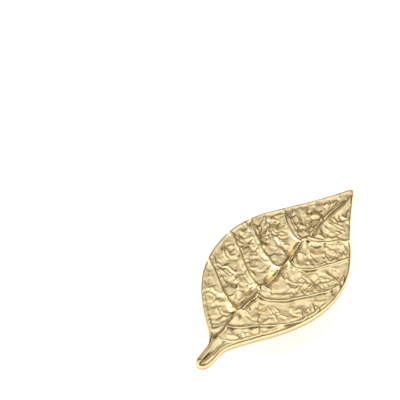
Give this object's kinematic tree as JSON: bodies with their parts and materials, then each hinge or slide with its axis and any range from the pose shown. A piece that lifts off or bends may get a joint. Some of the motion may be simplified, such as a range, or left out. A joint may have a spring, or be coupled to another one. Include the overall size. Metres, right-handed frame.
{
  "type": "leaf shaped pull",
  "caption": "Cast leaf shaped cabinet or drawer pull with raised midrib, side veins and a pebbled face, standing on one round screw post.",
  "frame": {"origin": "centre of the post's flat foot, where it meets the door or drawer front", "axes": "+Z out of the leaf's face, away from the door; +Y along the leaf from stem to tip; +X to the right as the face is seen with the tip up"},
  "size_m": [0.0465, 0.0932, 0.0235],
  "materials": {
    "cast_brass": "satin polished, pale champagne gold"
  },
  "bodies": {
    "root": {"leaf_pull": "cast_brass"}
  },
  "joints": []
}
